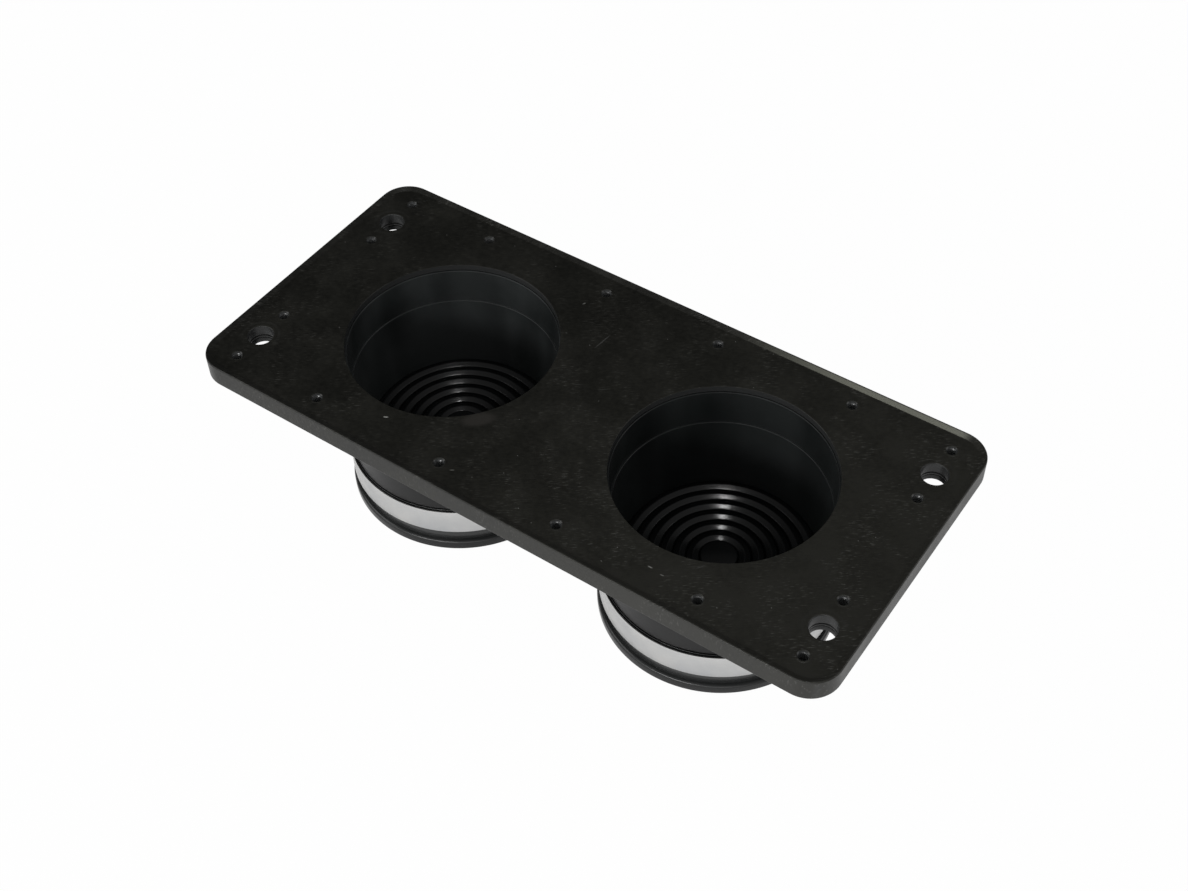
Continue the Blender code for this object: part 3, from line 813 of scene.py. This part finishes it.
for side, direction in (("left", -1), ("right", 1)):
    bm = bmesh.new()
    turn = math.tau / band_turn_steps
    start = math.pi / 2 - turn * band_overlap_steps / 2
    corners = [
        (band_bore, band_top - band_width),
        (band_bore + band_thickness, band_top - band_width),
        (band_bore + band_thickness, band_top),
        (band_bore, band_top),
    ]
    end_face = bm.faces.new([
        bm.verts.new((radius * math.cos(start), radius * math.sin(start), height)) for radius, height in corners
    ])
    bmesh.ops.bevel(
        bm,
        geom=end_face.verts[:],
        affect="VERTICES",
        offset=band_edge_round,
        segments=2,
        profile=0.5,
        material=-1,
    )
    end_face = bm.faces[:][0]
    for step in range(band_turn_steps + band_overlap_steps):
        end_face = extruded(bm, end_face)
        bmesh.ops.rotate(bm, cent=(0.0, 0.0, 0.0), matrix=Matrix.Rotation(turn, 3, "Z"), verts=end_face.verts)
        if band_turn_steps - band_climb_steps <= step < band_turn_steps:
            now = start + (step + 1) * turn
            climb = band_step / band_climb_steps
            outward = (climb * math.cos(now), climb * math.sin(now), 0.0)
            bmesh.ops.translate(bm, vec=outward, verts=end_face.verts)
    bmesh.ops.recalc_face_normals(bm, faces=bm.faces)
    bmesh.ops.translate(bm, vec=(direction * entry_pitch / 2, 0.0, 0.0), verts=bm.verts)
    band = new_object(f"{side}_band", bm)
    bm = bmesh.new()
    for slot_angle in slot_angles:
        slot_turn = Matrix.Rotation(math.radians(slot_angle), 3, "Z")
        slot = bmesh.ops.create_cube(bm, size=1.0)["verts"]
        bmesh.ops.scale(bm, vec=(slot_width, slot_cut, slot_length), verts=slot)
        bmesh.ops.rotate(
            bm, cent=(0.0, 0.0, 0.0), matrix=Matrix.Rotation(math.radians(slot_slant), 3, "Y"), verts=slot
        )
        middle = (0.0, band_bore + band_step + band_thickness * 0.55, band_top - band_width / 2)
        bmesh.ops.translate(bm, vec=middle, verts=slot)
        bmesh.ops.rotate(bm, cent=(0.0, 0.0, 0.0), matrix=slot_turn, verts=slot)
    bmesh.ops.translate(bm, vec=(direction * entry_pitch / 2, 0.0, 0.0), verts=bm.verts)
    machined(band, [("DIFFERENCE", new_object("slot_tool", bm))])
    dress(band, steel_finishes[side], f"{side}_clamp_band")

# Clamp housings: a small saddle of pressed stainless steel, spot welded to the band, which holds the screw
# against the band's slots.
housing_length = 0.0150
housing_wall = 0.0010
housing_foot = 0.0010
housing_seat = 0.0563
screw_axis = 0.0599
housing_bore = 0.0039
band_centre = band_top - band_width / 2
housing_steps = 12

for side, direction in (("left", -1), ("right", 1)):
    arch = housing_bore + housing_wall
    foot_top = housing_seat + housing_foot
    outline = [(band_width / 2, housing_seat), (band_width / 2, foot_top), (arch, foot_top)]
    outline += rounded((0.0, screw_axis), (arch, arch), 0, 180, 16)
    outline += [(-arch, foot_top), (-band_width / 2, foot_top), (-band_width / 2, housing_seat)]
    outline += [(-housing_bore, housing_seat)]
    outline += rounded((0.0, screw_axis), (housing_bore, housing_bore), 180, 0, 16)
    outline += [(housing_bore, housing_seat)]
    bm = bmesh.new()
    end_face = bm.faces.new([
        bm.verts.new((-housing_length / 2, y, band_centre + across)) for across, y in outline
    ])
    for step in range(housing_steps):
        end_face = extruded(bm, end_face)
        bmesh.ops.translate(bm, vec=(housing_length / housing_steps, 0.0, 0.0), verts=end_face.verts)
    for vert in bm.verts:
        if vert.co.y < foot_top + 0.0001:
            vert.co.y -= housing_seat - math.sqrt(housing_seat**2 - vert.co.x**2)
    bmesh.ops.recalc_face_normals(bm, faces=bm.faces)
    bmesh.ops.translate(bm, vec=(direction * entry_pitch / 2, 0.0, 0.0), verts=bm.verts)
    housing = new_object(f"{side}_housing", bm)
    dress(housing, steel_finishes[side], f"{side}_clamp_housing")

# Clamp screws: a worm screw of zinc-plated steel, turned from bar, with a collar, a hexagon head and a slot for
# a screwdriver. The housing holds it in mesh with the band's slots.
screw_radius = 0.0036
screw_collar_radius = 0.0041
screw_collar_length = 0.0010
screw_across_flats = 0.0070
screw_head_length = 0.0042
screw_gap = 0.0003
driver_slot_width = 0.0009
driver_slot_depth = 0.0014
dark_plating_colour = (0.52, 0.52, 0.53)
pale_plating_colour = (0.66, 0.66, 0.66)

screw_finish, nodes = new_finish("plated_steel")
place = nodes.node("ShaderNodeTexCoord", output="Object")
smears = noise(place, 260.0, 4.0)
surface = nodes.node("ShaderNodeBsdfPrincipled", inputs={
    "Base Color": smears.blend(dark_plating_colour, pale_plating_colour),
    "Metallic": 1.0,
    "Roughness": 0.18 + smears * 0.16,
})
nodes.node("ShaderNodeOutputMaterial", inputs={"Surface": surface})

for side, direction in (("left", -1), ("right", 1)):
    collar_start = housing_length / 2 + screw_gap
    head_start = collar_start + screw_collar_length
    head_end = head_start + screw_head_length
    bm = turned([
        (0.0, -housing_length / 2),
        (screw_radius - 0.0004, -housing_length / 2),
        (screw_radius, -housing_length / 2 + 0.0004),
        (screw_radius, collar_start),
        (screw_collar_radius, collar_start),
        (screw_collar_radius, head_start),
        (0.0, head_start),
    ], 48)
    head = bmesh.ops.create_circle(
        bm,
        cap_ends=True,
        segments=6,
        radius=screw_across_flats / math.sqrt(3),
        matrix=Matrix.Translation((0.0, 0.0, head_start)),
    )["verts"]
    cap = head[0].link_faces[:]
    grown = bmesh.ops.extrude_face_region(bm, geom=cap)["geom"]
    raised = [item for item in grown if isinstance(item, bmesh.types.BMVert)]
    bmesh.ops.translate(bm, vec=(0.0, 0.0, screw_head_length), verts=raised)
    bmesh.ops.recalc_face_normals(bm, faces=bm.faces)
    bmesh.ops.rotate(bm, cent=(0.0, 0.0, 0.0), matrix=Matrix.Rotation(math.pi / 2, 3, "Y"), verts=bm.verts)
    bmesh.ops.translate(bm, vec=(direction * entry_pitch / 2, screw_axis, band_centre), verts=bm.verts)
    screw = new_object(f"{side}_screw", bm)
    bm = bmesh.new()
    bmesh.ops.create_cube(bm, size=1.0)
    bmesh.ops.scale(bm, vec=(2 * driver_slot_depth, driver_slot_width, 2 * screw_across_flats), verts=bm.verts)
    slot_place = (direction * entry_pitch / 2 + head_end, screw_axis, band_centre)
    bmesh.ops.translate(bm, vec=slot_place, verts=bm.verts)
    machined(screw, [("DIFFERENCE", new_object("driver_slot_tool", bm))])
    dress(screw, screw_finish, f"{side}_clamp_screw")
